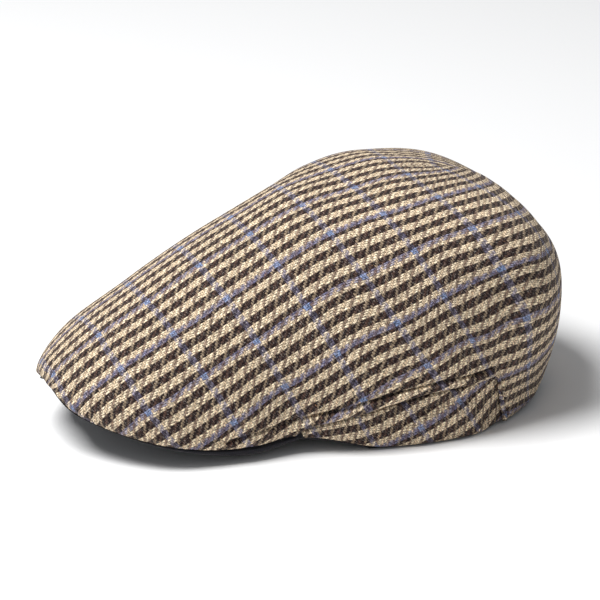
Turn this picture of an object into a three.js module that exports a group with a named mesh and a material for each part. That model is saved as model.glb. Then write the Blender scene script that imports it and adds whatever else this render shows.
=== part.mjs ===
// Flat cap with a one-piece top, at its real size in millimetres.
// +Z is up, the peak points towards -Y, and X runs from ear to ear.
// Left and right are the wearer's: the left ear is at +X.
// The origin is the middle of the cap's footprint, on the surface that it rests on.
import * as THREE from 'three';

// Cloth and board thicknesses.
const TOP_CLOTH = 1.6;
const SIDE_CLOTH = 1.5;
const BAND_CLOTH = 1.2;
const BOARD = 2.2;
const LAP_GAP = 0.4;

// Sweatband: height, how far its edge shows under the hem, the height of hem below which it
// rests on the surface, and its room inside the cloth.
const BAND_HEIGHT = 30;
const BAND_DROP = 1.3;
const BAND_REST = 2.4;
const BAND_CLEARANCE = 1;
const BAND_LEAN = 2;

// Peak board: its inner edge is half an ellipse across the forehead.
const FOREHEAD_HALF_WIDTH = 64;
const FOREHEAD_START_Y = -44;
const FOREHEAD_DEPTH = 53;
const FOREHEAD_SIDE_Z = 8;
const FOREHEAD_RISE = 28;
const FOREHEAD_ARCH_POWER = 1.4;
const BOARD_TUCK = 0.8;
const BOARD_LIP = 2.4;
const BOARD_STEP = 0.55;
const LIP_THICKNESS = 0.8;
const BOARD_END_STATION = 3.85;
const BOARD_END_TURN = 82;

// Side panel: its front tip, its back seam, how far the seam leans, and the lapped-under margin.
const PANEL_TIP_STATION = 3.95;
const BACK_SEAM_STATION = 7.33;
const BACK_SEAM_LEAN = 0.23;
const BACK_SEAM_REACH = 1.4;
const LAP_MARGIN = 7;
const LAP_STATIONS = 0.3;
const HEM_EASE = 1.4;
const LAP_EXTRA = 0.6;

// Mesh density: stations apart, cells from crown line to seam, cells from seam to hem.
const STATION_STEP = 0.34;
const UPPER_CELLS = 9;
const LOWER_CELLS = 3;
const POLE_STATION = 0.02;

// Sections through the skin, from the front edge of the peak over the crown to the back hem.
// top: the crown line. edge: the lower edge. belly: how far the side swells past the edge.
// fullness: 0.55 is an elliptical arch, and more is squarer.
const SECTIONS = [
  section(-160, 31, 0, -160, 31, 0, 0.56), // front edge
  section(-156, 40.5, 27, -152.5, 21, 0, 0.56), // front corner
  section(-135.5, 56, 58, -120.5, 11.5, 0.5, 0.57), // side of the peak
  section(-106, 72.5, 67, -78.5, 5, 2.5, 0.58), // lowest point of the peak
  section(-83.5, 84.5, 68, -45.5, 7.5, 5, 0.59), // where peak and hem meet
  section(-56.5, 97.5, 79, -11, 1.3, 5.5, 0.58), // temple
  section(-27.5, 110.5, 83, 32, 0.8, 6, 0.61), // ear
  section(-2, 115, 75, 57, 1.3, 24, 0.71), // back seam
  section(31, 118, 61.5, 80.5, 4, 43.5, 0.74), // top of the crown
  section(74.5, 109.5, 46.5, 93.5, 5, 48.5, 0.8), // back shoulder
  section(104, 86, 32, 102, 5, 33.5, 0.63), // back
  section(116.5, 61, 16, 106.5, 4.8, 18.5, 0.71), // fullest point of the back
  section(108, 4.5, 0, 108, 4.5, 0, 0.55), // middle of the back hem
];

// Lower edge of the top cloth: its distance above the skin's lower edge at each station.
const TOP_CLOTH_EDGE = [
  { station: 0, above: 1.1 },
  { station: 1.6, above: 1.2 },
  { station: 2.4, above: 2.2 },
  { station: 3.1, above: 3.4 },
  { station: 3.7, above: 2.2 },
  { station: 3.85, above: 2.2 },
  { station: 4.1, above: 7 },
  { station: 4.45, above: 12.5 },
  { station: 4.8, above: 19 },
  { station: 5.3, above: 26 },
  { station: 5.8, above: 30.5 },
  { station: 6.25, above: 32 },
  { station: BACK_SEAM_STATION, above: 31 },
  { station: 12, above: 31 },
];

const LAST_STATION = SECTIONS.length - 1;

// One row of the section table, with its columns named.
function section(topY, topZ, edgeX, edgeY, edgeZ, belly, fullness) {
  return { topY, topZ, edgeX, edgeY, edgeZ, belly, fullness };
}

// The section beyond either end of the table: its neighbour, mirrored left to right.
function mirrored(row) {
  return { ...row, edgeX: -row.edgeX };
}

// Smooth blend of the table's rows at any station between them (Catmull-Rom).
function sectionAt(station) {
  const index = Math.min(Math.floor(station), LAST_STATION - 1);
  const f = station - index;
  const a = index === 0 ? mirrored(SECTIONS[1]) : SECTIONS[index - 1];
  const b = SECTIONS[index];
  const c = SECTIONS[index + 1];
  const d = index + 2 > LAST_STATION ? mirrored(SECTIONS[LAST_STATION - 1]) : SECTIONS[index + 2];
  const blended = {};
  for (const key of Object.keys(b)) {
    const linear = (c[key] - a[key]) * f;
    const square = (2 * a[key] - 5 * b[key] + 4 * c[key] - d[key]) * f * f;
    const cube = (3 * b[key] - a[key] - 3 * c[key] + d[key]) * f * f * f;
    blended[key] = 0.5 * (2 * b[key] + linear + square + cube);
  }
  return blended;
}

// Height of a section's arch as a fraction of its full height; t runs from crown line to edge.
function archHeight(fullness, t) {
  const s = 1 - t;
  return s * s * s + 3 * t * s * s + 3 * t * t * s * fullness;
}

// A point of the outer skin. across runs from -1 at the right edge to 1 at the left edge.
function skinPoint(station, across) {
  const row = sectionAt(station);
  const t = Math.abs(across);
  const s = 1 - t;
  const wide = row.edgeX + row.belly * Math.tanh(row.edgeX / 12);
  const x = 3 * t * s * s * row.fullness * wide + 3 * t * t * s * wide + t * t * t * row.edgeX;
  const h = archHeight(row.fullness, t);
  const y = row.edgeY + (row.topY - row.edgeY) * h;
  const z = row.edgeZ + (row.topZ - row.edgeZ) * h;
  return new THREE.Vector3(Math.sign(across) * x, y, z);
}

// Outward normal of the skin, from small steps along and across; an end takes its crown line's.
function skinNormal(station, across) {
  const step = 0.01;
  const at = THREE.MathUtils.clamp(station, POLE_STATION, LAST_STATION - POLE_STATION);
  const side = at === station ? THREE.MathUtils.clamp(across, step - 1, 1 - step) : 0;
  const along = skinPoint(at + step, side).sub(skinPoint(at - step, side));
  const over = skinPoint(at, side + step).sub(skinPoint(at, side - step));
  return over.cross(along).normalize();
}

// The skin moved inwards by a distance, along its normal.
function insetPoint(station, across, inset) {
  return skinPoint(station, across).addScaledVector(skinNormal(station, across), -inset);
}

// How far across the section lies the point that is a given distance above the lower edge.
function acrossAbove(station, above) {
  const row = sectionAt(station);
  const full = Math.hypot(row.topY - row.edgeY, row.topZ - row.edgeZ);
  const wanted = Math.min(above / Math.max(full, 0.001), 0.5);
  let low = 0;
  let high = 1;
  for (let i = 0; i < 40; i += 1) {
    const middle = (low + high) / 2;
    if (archHeight(row.fullness, middle) > wanted) {
      low = middle;
    } else {
      high = middle;
    }
  }
  return high;
}

// Distance of the top cloth's edge above the skin's lower edge.
function topClothEdge(station) {
  const next = TOP_CLOTH_EDGE.findIndex((row) => row.station >= station);
  if (next <= 0) {
    return TOP_CLOTH_EDGE[0].above;
  }
  const a = TOP_CLOTH_EDGE[next - 1];
  const b = TOP_CLOTH_EDGE[next];
  return THREE.MathUtils.mapLinear(station, a.station, b.station, a.above, b.above);
}

// Evenly divided stations between two ends, both included.
function stationsBetween(from, to) {
  const count = Math.max(1, Math.round((to - from) / STATION_STEP));
  return Array.from({ length: count + 1 }, (_, i) => from + ((to - from) * i) / count);
}

// A place below the seam line: f is 0 on the line and 1 at the hem, and the back seam leans.
function lowerPlace(station, f) {
  const near = Math.max(0, 1 - Math.abs(station - BACK_SEAM_STATION) / BACK_SEAM_REACH);
  const at = station - BACK_SEAM_LEAN * near * f;
  const seam = acrossAbove(at, topClothEdge(at));
  return { at, across: seam + (1 - seam) * f };
}

// Triangles of a closed cloth wall over some cells of a grid of outer and inner points.
function wallGeometry(outer, inner, cells) {
  const ids = new Map();
  const pairs = [];
  const idOf = (i, j) => {
    const p = outer[i][j];
    const key = [p.x, p.y, p.z].map((v) => Math.round(v * 1000)).join(',');
    if (!ids.has(key)) {
      ids.set(key, pairs.length);
      pairs.push([p, inner[i][j]]);
    }
    return ids.get(key);
  };
  const faces = [];
  const addFace = (a, b, c) => {
    if (a !== b && b !== c && c !== a) {
      faces.push([a, b, c]);
    }
  };
  for (const [i, j] of cells) {
    const [a, b, c, d] = [idOf(i, j), idOf(i, j + 1), idOf(i + 1, j + 1), idOf(i + 1, j)];
    addFace(a, b, c);
    addFace(a, c, d);
  }
  const edges = new Set(faces.flatMap(([a, b, c]) => [`${a},${b}`, `${b},${c}`, `${c},${a}`]));
  const n = pairs.length;
  const index = faces.flatMap(([a, b, c]) => [a, b, c, a + n, c + n, b + n]);
  for (const edge of edges) {
    const [a, b] = edge.split(',').map(Number);
    if (!edges.has(`${b},${a}`)) {
      index.push(b, a, a + n, b, a + n, b + n);
    }
  }
  const points = [...pairs.map((pair) => pair[0]), ...pairs.map((pair) => pair[1])];
  const geometry = new THREE.BufferGeometry().setFromPoints(points);
  geometry.setIndex(index);
  return geometry;
}

// Triangles of a solid through closed rings of points, with a flat fan over each end.
function loftGeometry(rings) {
  const size = rings[0].length;
  const index = [];
  for (let r = 0; r + 1 < rings.length; r += 1) {
    for (let k = 0; k < size; k += 1) {
      const a = r * size + k;
      const b = r * size + ((k + 1) % size);
      index.push(a, b, b + size, a, b + size, a + size);
    }
  }
  const last = (rings.length - 1) * size;
  for (let k = 1; k + 1 < size; k += 1) {
    index.push(0, k + 1, k, last, last + k, last + k + 1);
  }
  const geometry = new THREE.BufferGeometry().setFromPoints(rings.flat());
  geometry.setIndex(index);
  return geometry;
}

// One-piece top: from the peak's edge over the crown, and down the back to the hem.
function crownTopGeometry() {
  const toTip = [...stationsBetween(0, BOARD_END_STATION), PANEL_TIP_STATION];
  const toSeam = stationsBetween(PANEL_TIP_STATION, BACK_SEAM_STATION).slice(1);
  const toHem = stationsBetween(BACK_SEAM_STATION, LAST_STATION).slice(1);
  const stations = [...toTip, ...toSeam, ...toHem];
  const seamRow = toTip.length + toSeam.length - 1;
  const reach = UPPER_CELLS + LOWER_CELLS;
  const outer = [];
  const inner = [];
  const cells = [];
  stations.forEach((station, i) => {
    outer.push([]);
    inner.push([]);
    for (let j = -reach; j <= reach; j += 1) {
      const step = Math.abs(j);
      const lower = lowerPlace(station, Math.max(0, step - UPPER_CELLS) / LOWER_CELLS);
      const upper = (lower.across * step) / UPPER_CELLS;
      const across = Math.sign(j) * (step > UPPER_CELLS ? lower.across : upper);
      outer[i].push(skinPoint(lower.at, across));
      inner[i].push(insetPoint(lower.at, across, TOP_CLOTH));
      const inUpper = j >= -UPPER_CELLS && j < UPPER_CELLS;
      if (j < reach && i + 1 < stations.length && (inUpper || i >= seamRow)) {
        cells.push([i, j + reach]);
      }
    }
  });
  return wallGeometry(outer, inner, cells);
}

// Inset of the side panel's outer face: lapped behind the top cloth, and eased out at the hem.
function panelInset(station, f) {
  const clear = THREE.MathUtils.smoothstep(BACK_SEAM_STATION - station, 0.1, 1);
  return TOP_CLOTH + LAP_GAP - HEM_EASE * clear * f;
}

// Wedge-shaped side panel, lapped under the top cloth along its upper edge and back seam.
function sidePanelGeometry(side) {
  const stations = stationsBetween(PANEL_TIP_STATION, BACK_SEAM_STATION);
  stations.push(BACK_SEAM_STATION + LAP_STATIONS);
  const outer = [];
  const inner = [];
  const cells = [];
  stations.forEach((station, i) => {
    outer.push([]);
    inner.push([]);
    for (let j = -1; j <= LOWER_CELLS; j += 1) {
      const f = Math.max(0, j) / LOWER_CELLS;
      const place = lowerPlace(station, f);
      const under = acrossAbove(place.at, topClothEdge(place.at) + LAP_MARGIN);
      const across = side * (j < 0 ? under : place.across);
      const inset = panelInset(station, f) + (j < 0 ? LAP_EXTRA : 0);
      outer[i].push(insetPoint(place.at, across, inset));
      inner[i].push(insetPoint(place.at, across, inset + SIDE_CLOTH));
      if (j < LOWER_CELLS && i + 1 < stations.length) {
        cells.push([i, j + 1]);
      }
    }
    if (side < 0) {
      outer[i].reverse();
      inner[i].reverse();
    }
  });
  return wallGeometry(outer, inner, cells);
}

// A point on the forehead arc; turn is 0 at the left end, 90 in the middle and 180 at the right.
function foreheadPoint(turn, inset) {
  const angle = THREE.MathUtils.degToRad(turn);
  const x = (FOREHEAD_HALF_WIDTH - inset) * Math.cos(angle);
  const y = FOREHEAD_START_Y - (FOREHEAD_DEPTH - inset) * Math.sin(angle);
  const fall = Math.abs(Math.cos(angle)) ** FOREHEAD_ARCH_POWER;
  return new THREE.Vector3(x, y, FOREHEAD_SIDE_Z + FOREHEAD_RISE * (1 - fall));
}

// Stiff peak: a board under the top cloth, whose dark covering shows as a lip along its edge.
function peakGeometry() {
  const half = stationsBetween(0, BOARD_END_STATION);
  const places = [...half.slice(1).reverse().map((s) => [s, 1]), ...half.map((s) => [s, -1])];
  const rings = places.map(([station, side]) => {
    const above = topClothEdge(station);
    const lip = side * acrossAbove(station, Math.max(above - BOARD_STEP, 0.1));
    const tucked = side * acrossAbove(station, above + BOARD_TUCK);
    const foot = insetPoint(station, side, BOARD_LIP);
    foot.z = Math.min(foot.z, skinPoint(station, side).z) - LIP_THICKNESS;
    const edge = [
      skinPoint(station, side),
      skinPoint(station, lip),
      insetPoint(station, lip, TOP_CLOTH + BOARD_STEP),
    ];
    edge.forEach((point) => point.setZ(point.z - LAP_GAP));
    edge.push(insetPoint(station, tucked, TOP_CLOTH + 2 * BOARD_STEP));
    const innerTop = foreheadPoint(90 - (side * BOARD_END_TURN * station) / BOARD_END_STATION, 0);
    const innerFoot = innerTop.clone().setZ(innerTop.z - BOARD);
    return [...edge, innerTop, innerFoot, foot];
  });
  return loftGeometry(rings);
}

// Foot and head of the sweatband inside the hem; the foot is flat where the cap rests.
function bandSection(station, side) {
  const behind = THREE.MathUtils.smoothstep(station, BACK_SEAM_STATION + LAP_STATIONS, 8.3);
  const panel = panelInset(station, 1) + SIDE_CLOTH;
  const inset = THREE.MathUtils.lerp(panel, TOP_CLOTH, behind) + BAND_CLEARANCE;
  const foot = insetPoint(station, side, inset);
  const hem = skinPoint(station, side).z;
  foot.z = hem > BAND_REST ? hem - BAND_DROP : 0;
  const along = side * acrossAbove(station, BAND_HEIGHT);
  const wall = insetPoint(station, along, panelInset(station, 0) + SIDE_CLOTH + BAND_CLEARANCE);
  const upright = leanIn(foot);
  return { foot, head: wall.lerp(upright, behind) };
}

// The top of an upright strip of sweatband, leaning inwards above its foot.
function leanIn(foot) {
  const head = foot.clone().addScaledVector(towardsAxis(foot), BAND_LEAN);
  head.z += BAND_HEIGHT;
  return head;
}

// Level direction from a point towards the cap's middle.
function towardsAxis(point) {
  return new THREE.Vector3(-point.x, -point.y, 0).normalize();
}

// Sweatband: an oval ring inside the hem, which rises across the forehead behind the peak.
function sweatbandGeometry() {
  const half = stationsBetween(4.2, LAST_STATION);
  const strips = half.map((station) => bandSection(station, 1));
  strips.push(...half.slice(0, -1).reverse().map((station) => bandSection(station, -1)));
  for (let turn = 172; turn >= 8; turn -= 12) {
    const foot = foreheadPoint(turn, 1.5);
    foot.z -= BOARD;
    strips.push({ foot, head: leanIn(foot) });
  }
  strips.push(strips[0]);
  const outer = strips.map(({ foot, head }) => [head, foot]);
  const inner = outer.map((pair) =>
    pair.map((p) => p.clone().addScaledVector(towardsAxis(p), BAND_CLOTH)),
  );
  const cells = Array.from({ length: strips.length - 1 }, (_, i) => [i, 0]);
  return wallGeometry(outer, inner, cells);
}

// A named mesh with its own cloth colour.
function piece(name, geometry, color, roughness) {
  const material = new THREE.MeshStandardMaterial({ color, roughness, metalness: 0 });
  geometry.computeVertexNormals();
  const mesh = new THREE.Mesh(geometry, material);
  mesh.name = name;
  return mesh;
}

const cap = new THREE.Group();
cap.add(piece('crown_top', crownTopGeometry(), 0x9a8876, 0.95));
cap.add(piece('side_panel_left', sidePanelGeometry(1), 0x9a8876, 0.95));
cap.add(piece('side_panel_right', sidePanelGeometry(-1), 0x9a8876, 0.95));
cap.add(piece('peak', peakGeometry(), 0x15141a, 0.8));
cap.add(piece('sweatband', sweatbandGeometry(), 0x1b1a1f, 0.7));

// The footprint is centred on the origin.
const bounds = new THREE.Box3().setFromObject(cap, true);
const middle = bounds.getCenter(new THREE.Vector3());
cap.position.set(-middle.x, -middle.y, -bounds.min.z);

export default cap;
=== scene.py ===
"""Flat cap in checked wool: the looks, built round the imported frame.

Tables and sizes are in millimetres, and become metres where a mesh is made.
+Z is up, the peak points towards -Y, and the wearer's left ear is at +X.
A station is a place along the cap, from 0 at the front tip to 12 at the back hem.
Across is a place over the cap, from -1 at the right edge to 1 at the left edge.
"""

import logging
import math
from dataclasses import astuple, dataclass, field
from enum import Enum
from functools import partial
from typing import Any, Callable

import bmesh
import bpy
import numpy as np
from mathutils import Matrix, Vector


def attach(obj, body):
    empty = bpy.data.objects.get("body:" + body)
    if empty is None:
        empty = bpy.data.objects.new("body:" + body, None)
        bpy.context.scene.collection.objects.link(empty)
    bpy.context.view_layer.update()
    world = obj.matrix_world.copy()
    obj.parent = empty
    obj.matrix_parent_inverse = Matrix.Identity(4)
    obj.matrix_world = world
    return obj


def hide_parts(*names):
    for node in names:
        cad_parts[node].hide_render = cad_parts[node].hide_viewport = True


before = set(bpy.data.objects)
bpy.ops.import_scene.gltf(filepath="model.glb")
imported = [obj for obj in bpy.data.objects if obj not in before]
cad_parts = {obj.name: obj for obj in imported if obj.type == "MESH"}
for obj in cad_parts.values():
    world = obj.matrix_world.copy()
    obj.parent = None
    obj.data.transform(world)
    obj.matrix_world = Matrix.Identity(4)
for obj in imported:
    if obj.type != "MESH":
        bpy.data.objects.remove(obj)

LOG = logging.getLogger("flat_cap")
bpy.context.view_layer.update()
MM = 0.001
FRAME_SHIFT_Y = 21.75  # the tables' origin is this far behind the frame's
SHIFT = (0, FRAME_SHIFT_Y, 0)
FLIP = (-1, 1, 1)  # from the left side to the right

Array = np.ndarray
Mesh = bmesh.types.BMesh
Tree = bpy.types.NodeTree
Socket = bpy.types.NodeSocket
Add = Callable[..., Socket]
Piece = bpy.types.Object


class Side(Enum):
    """The wearer's side that a piece is on, as the sign of X."""

    LEFT = 1
    RIGHT = -1


class Slot(Enum):
    """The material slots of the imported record."""

    WOOL = "checked_wool"
    TWILL = "dark_twill"


# The skin that every piece of the cap follows


@dataclass(frozen=True)
class Section:
    """One section through the skin: its crown line, its lower edge, and its arch between."""

    top_y: float
    top_z: float
    edge_x: float
    edge_y: float
    edge_z: float
    belly: float
    fullness: float


SECTIONS = (
    Section(-160, 31, 0, -160, 31, 0, 0.56),  # front edge
    Section(-156, 40.5, 27, -152.5, 21, 0, 0.56),  # front corner
    Section(-135.5, 56, 58, -120.5, 11.5, 0.5, 0.57),  # side of the peak
    Section(-106, 72.5, 67, -78.5, 5, 2.5, 0.58),  # lowest point of the peak
    Section(-83.5, 84.5, 68, -45.5, 7.5, 5, 0.59),  # where peak and hem meet
    Section(-56.5, 97.5, 79, -11, 1.3, 5.5, 0.58),  # temple
    Section(-27.5, 110.5, 83, 32, 0.8, 6, 0.61),  # ear
    Section(-2, 115, 75, 57, 1.3, 24, 0.71),  # back seam
    Section(31, 118, 61.5, 80.5, 4, 43.5, 0.74),  # top of the crown
    Section(74.5, 109.5, 46.5, 93.5, 5, 48.5, 0.8),  # back shoulder
    Section(104, 86, 32, 102, 5, 33.5, 0.63),  # back
    Section(116.5, 61, 16, 106.5, 4.8, 18.5, 0.71),  # fullest point of the back
    Section(108, 4.5, 0, 108, 4.5, 0, 0.55),  # middle of the back hem
)
LAST_STATION = len(SECTIONS) - 1
POLE = 0.02  # the skin's direction is taken at least this far from its two ends
SMALL_STEP = 0.01  # over the skin, either side of where its direction is taken
LINE_POINTS = 1201  # on the crown line, where lengths are measured along it
HALVINGS = 40  # of the range, when a place across is searched for
BELLY_START = 12  # half width of a section where its side begins to swell

BOARD_END = 3.85
PANEL_TIP = 3.95
BACK_SEAM = 7.33
BACK_SEAM_LEAN = 0.23
BACK_SEAM_REACH = 1.4
BACK_START = 7  # behind here the top cloth reaches down to the hem
DART_START = 8.7  # the seam down the middle of the back closes the cloth from here to the hem

# Sizes that neighbouring pieces share.
TOP_THICKNESS = 1.6
SIDE_THICKNESS = 1.5
LAP_GAP = 0.4  # between the top and the panel or board under it
LAP_STATIONS = 0.3  # how far the panel reaches behind the back seam
HEM_EASE = 1.4  # how far the panel comes out level with the top, at the hem
PANEL_CLEAR = (0.1, 1)  # it comes out between these numbers of stations before the back seam
PEAK_CORNER = (1.6, 2.6)  # stations where the front of the peak turns into its sides
EVEN_HEM = 8  # the cloth's unevenness dies away over this distance to the hem

# Lower edge of the top cloth: station, and distance above the skin's lower edge.
TOP_CLOTH_EDGE = (
    (0, 0.5), (1.6, 0.6), (2.4, 2.0), (3.1, 3.2), (3.7, 2.2), (3.85, 2.2), (4.1, 7),
    (4.45, 12.5), (4.8, 19), (5.3, 26), (5.8, 30.5), (6.25, 32), (BACK_SEAM, 31), (12, 31),
)  # fmt: skip

# Row of stitches above the folded edge: station, and distance above the skin's lower edge.
STITCH_ROW = (
    (2.3, 4.4), (2.6, 6), (2.9, 8.4), (3.2, 10.3), (3.5, 11), (3.93, 12), (4.2, 14.8),
    (4.67, 22.3), (5.12, 29.2), (5.5, 33.4), (5.9, 35.8), (6.3, 37.2), (6.8, 37.1), (7.3, 36.6),
)  # fmt: skip


class Skin:
    """The cap's outer surface, as a smooth blend of its sections."""

    def __init__(self, sections: tuple[Section, ...]) -> None:
        """Keeps the table with a mirrored ghost row beyond each end.

        Args:
            sections: the table of sections, from front to back.
        """
        table = np.array([astuple(row) for row in sections], float)
        flip = np.array([1, 1, -1, 1, 1, 1, 1], float)
        self.table = np.vstack([table[1] * flip, table, table[-2] * flip])
        self.line_stations = np.linspace(0, LAST_STATION, LINE_POINTS)
        line = self.points(self.line_stations, np.zeros(LINE_POINTS))
        self.line_lengths = running_length(line)

    def sections(self, station: Array) -> tuple[Array, ...]:
        """Blends the table at each station.

        Args:
            station: places along the cap.

        Returns:
            The seven columns of the table at those places.
        """
        index = np.clip(np.floor(station).astype(int), 0, LAST_STATION - 1)
        shares = blend_shares(station - index)
        blend = sum(self.table[index + k] * share[..., None] for k, share in enumerate(shares))
        return tuple(np.moveaxis(blend, -1, 0))

    def points(self, station: Array, across: Array) -> Array:
        """Places on the skin.

        Args:
            station: places along the cap.
            across: places over the cap, of the same shape.

        Returns:
            Their coordinates in millimetres, in the last axis.
        """
        top_y, top_z, edge_x, edge_y, edge_z, belly, fullness = self.sections(station)
        t = np.abs(across)
        s = 1 - t
        wide = edge_x + belly * np.tanh(edge_x / BELLY_START)
        x = 3 * t * s * s * fullness * wide + 3 * t * t * s * wide + t**3 * edge_x
        h = arch_height(fullness, t)
        y = edge_y + (top_y - edge_y) * h + FRAME_SHIFT_Y
        z = edge_z + (top_z - edge_z) * h
        return np.stack([np.sign(across) * x, y, z], -1)

    def normals(self, station: Array, across: Array) -> Array:
        """Outward directions of the skin at the given places.

        Args:
            station: places along the cap.
            across: places over the cap, of the same shape.

        Returns:
            Unit directions in the last axis.
        """
        at = np.clip(station, POLE, LAST_STATION - POLE)
        step = SMALL_STEP
        side = np.where(at == station, np.clip(across, step - 1, 1 - step), 0)
        along = self.points(at + step, side) - self.points(at - step, side)
        over = self.points(at, side + step) - self.points(at, side - step)
        normal = np.cross(over, along)
        return normal / np.linalg.norm(normal, axis=-1, keepdims=True)

    def inset(self, station: Array, across: Array, depth: Array | float) -> Array:
        """Places under the skin by a depth along its normals."""
        depth = np.asarray(depth, float)[..., None]
        return self.points(station, across) - self.normals(station, across) * depth

    def across_above(self, station: Array, above: Array) -> Array:
        """Finds how far across lies the place a distance above the lower edge.

        Args:
            station: places along the cap.
            above: distances above the lower edge, of the same shape.

        Returns:
            Places over the cap, from 0 to 1.
        """
        top_y, top_z, _, edge_y, edge_z, _, fullness = self.sections(station)
        full = np.hypot(top_y - edge_y, top_z - edge_z)
        wanted = np.minimum(above / np.maximum(full, 0.001), 0.5)
        low, high = np.zeros_like(wanted), np.ones_like(wanted)
        for _ in range(HALVINGS):
            middle = (low + high) / 2
            higher = arch_height(fullness, middle) > wanted
            low, high = np.where(higher, middle, low), np.where(higher, high, middle)
        return high

    def span(self, start: float, end: float, step: float) -> Array:
        """Stations evenly spaced along the crown line.

        Args:
            start: first station.
            end: last station.
            step: about how far apart, in millimetres.

        Returns:
            The stations, both ends included.
        """
        ends = np.interp([start, end], self.line_stations, self.line_lengths)
        count = max(1, math.ceil((ends[1] - ends[0]) / step))
        lengths = np.linspace(ends[0], ends[1], count + 1)
        stations = np.interp(lengths, self.line_lengths, self.line_stations)
        stations[0], stations[-1] = start, end
        return stations


def blend_shares(f: Array) -> tuple[Array, Array, Array, Array]:
    """Shares of four neighbouring rows in a smooth blend, a fraction past the second.

    Args:
        f: fraction of the way from the second row to the third.

    Returns:
        The share of each row.
    """
    return (
        (-f + 2 * f**2 - f**3) / 2,
        (2 - 5 * f**2 + 3 * f**3) / 2,
        (f + 4 * f**2 - 3 * f**3) / 2,
        (f**3 - f**2) / 2,
    )


def arch_height(fullness: Array, t: Array) -> Array:
    """Height of a section's arch as a fraction of its full height."""
    s = 1 - t
    return s**3 + 3 * t * s * s + 3 * t * t * s * fullness


def running_length(line: Array) -> Array:
    """Length along a line of points, from its first point to each point."""
    steps = np.linalg.norm(np.diff(line, axis=0), axis=-1)
    return np.concatenate([[0.0], np.cumsum(steps)])


def smooth_step(value: Array, start: float, end: float) -> Array:
    """Smooth rise from 0 at start to 1 at end."""
    t = np.clip((value - start) / (end - start), 0, 1)
    return t * t * (3 - 2 * t)


def towards_axis(points: Array) -> Array:
    """Level directions from some points towards the cap's middle."""
    flat = (points - SHIFT) * (-1, -1, 0)
    return flat / np.linalg.norm(flat, axis=-1, keepdims=True)


def distance_to_line(points: Array, line: Array) -> Array:
    """Distance from each point to a line of straight pieces.

    Args:
        points: coordinates in the last axis.
        line: the line's corners.

    Returns:
        One distance for each point.
    """
    nearest = np.full(points.shape[:-1], np.inf)
    for a, b in zip(line[:-1], line[1:]):
        along = b - a
        t = np.clip((points - a) @ along / max(along @ along, 1e-9), 0, 1)
        gap = np.linalg.norm(points - a - t[..., None] * along, axis=-1)
        nearest = np.minimum(nearest, gap)
    return nearest


SKIN = Skin(SECTIONS)


# How the cloth of the top lies on the skin


@dataclass(frozen=True)
class EasedCloth:
    """Where the cloth lies once it is shrunk and eased to the shape, by steam and hand.

    Each row has widthways and then lengthways places on the flat cloth, at nine places from
    crown line to edge. The rows are half a station apart.
    """

    start: float  # station of the first row
    rows: tuple[tuple[tuple[int, ...], tuple[int, ...]], ...]

    def place(self, station: Array, across: Array) -> Array:
        """Places on the flat cloth, blended smoothly from the table.

        Args:
            station: places along the cap.
            across: places from the crown line, 0, to the edge, 1.

        Returns:
            Widthways and lengthways places in millimetres, in the last axis.
        """
        table = np.moveaxis(np.array(self.rows, float), 1, 2)
        table = np.concatenate([2 * table[:1] - table[1:2], table, 2 * table[-1:] - table[-2:-1]])
        ends = (2 * table[:, :1] - table[:, 1:2], 2 * table[:, -1:] - table[:, -2:-1])
        table = np.concatenate([ends[0], table, ends[1]], axis=1)
        row = np.clip((station - self.start) * 2, 0, len(self.rows) - 1.0001)
        column = np.clip(across * 8, 0, 7.9999)
        i, j = row.astype(int), column.astype(int)
        total = np.zeros(station.shape + (2,))
        for m, down in enumerate(blend_shares(row - i)):
            for n, over in enumerate(blend_shares(column - j)):
                total += table[i + m, j + n] * (down * over)[..., None]
        return total


FRONT_CLOTH = EasedCloth(0, (
    ((0,) * 9, (5,) * 9),
    ((0, 2, 6, 13, 18, 22, 24, 25, 26), (6, 5, 4, 3, 2, 2, 2, 2, 1)),
    ((0, 7, 14, 20, 26, 31, 36, 40, 43), (12, 11, 11, 11, 11, 11, 10, 9, 6)),
    ((0, 10, 20, 28, 37, 45, 52, 58, 64), (23, 23, 23, 23, 23, 22, 21, 18, 15)),
    ((0, 12, 24, 35, 46, 56, 66, 75, 84), (37, 37, 38, 38, 37, 37, 36, 33, 30)),
    ((0, 13, 26, 39, 51, 63, 75, 87, 99), (55, 55, 55, 54, 54, 53, 52, 50, 47)),
    ((0, 14, 28, 42, 55, 69, 83, 97, 112), (72, 72, 71, 71, 70, 69, 68, 67, 65)),
    ((0, 15, 29, 43, 57, 72, 87, 102, 119), (84, 84, 84, 84, 84, 83, 82, 81, 80)),
    ((0, 16, 30, 45, 59, 75, 91, 108, 123), (96, 96, 96, 96, 96, 96, 96, 96, 95)),
    ((0, 17, 33, 48, 64, 81, 98, 117, 126), (110, 110, 110, 110, 110, 110, 110, 110, 109)),
    ((0, 18, 35, 52, 70, 88, 107, 128, 131), (126, 126, 126, 126, 126, 125, 125, 125, 124)),
))  # fmt: skip
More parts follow.
